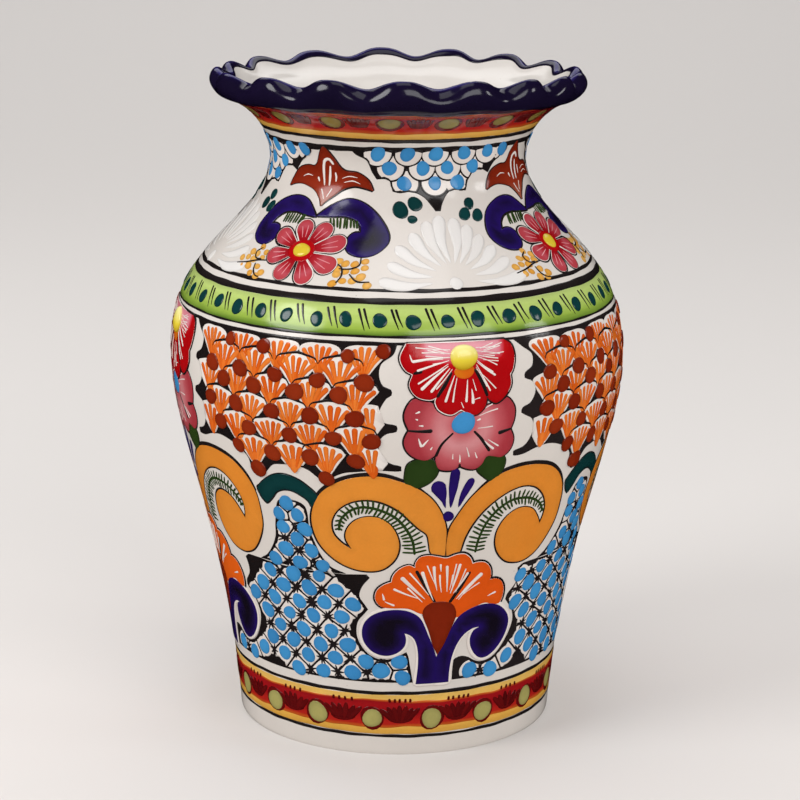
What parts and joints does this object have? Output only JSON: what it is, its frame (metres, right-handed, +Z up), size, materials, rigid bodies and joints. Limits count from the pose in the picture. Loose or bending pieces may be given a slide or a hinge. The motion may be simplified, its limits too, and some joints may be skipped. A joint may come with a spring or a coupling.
{
  "type": "glazed pottery vase",
  "caption": "Shouldered earthenware vase with a flared, ruffled rim and raised enamel flowers, scrolls, scales and bands, for holding cut flowers.",
  "frame": {"origin": "centre of the foot, on the plane that the vase rests on", "axes": "+Z up along the axis of the vase, -Y towards the side whose main flower column faces the viewer"},
  "size_m": [0.205, 0.205, 0.3003],
  "materials": {
    "fired_clay": "bare fired earthenware, dull and slightly gritty",
    "tin_white_glaze": "thick glossy white tin glaze, slightly warm and uneven",
    "lining_glaze": "glossy cream glaze",
    "cobalt_glaze": "deep glossy cobalt blue, nearly black where thick",
    "black_enamel": "glossy black-brown outlining enamel, thin and slightly raised",
    "red_enamel": "glossy bright red enamel",
    "rose_enamel": "glossy rose enamel, paler towards the middle of each petal",
    "crimson_enamel": "glossy deep red band enamel with darker brushed fans",
    "orange_enamel": "glossy orange enamel, brushed",
    "amber_enamel": "glossy amber enamel, streaked",
    "yellow_enamel": "glossy raised yellow enamel",
    "brown_enamel": "glossy red-brown enamel",
    "lime_enamel": "glossy yellow-green enamel, darker at its lower edge",
    "leaf_enamel": "glossy dark leaf green enamel",
    "teal_enamel": "glossy dark teal enamel",
    "sky_enamel": "glossy sky blue enamel",
    "cobalt_enamel": "glossy violet-cobalt enamel, nearly black where thick",
    "olive_enamel": "glossy olive enamel",
    "white_enamel": "glossy raised white brush strokes"
  },
  "bodies": {
    "root": {"foot_ring": "fired_clay", "floor_slab": "fired_clay", "foot_wall": "fired_clay", "lower_wall": "fired_clay", "belly_wall": "fired_clay", "upper_wall": "fired_clay", "shoulder_wall": "fired_clay", "neck_collar": "fired_clay", "neck_flare": "fired_clay", "ruffled_rim": "fired_clay", "outer_glaze": "tin_white_glaze", "inner_glaze": "lining_glaze", "rim_glaze": "cobalt_glaze", "rim_lining": "lining_glaze"}
  },
  "joints": []
}
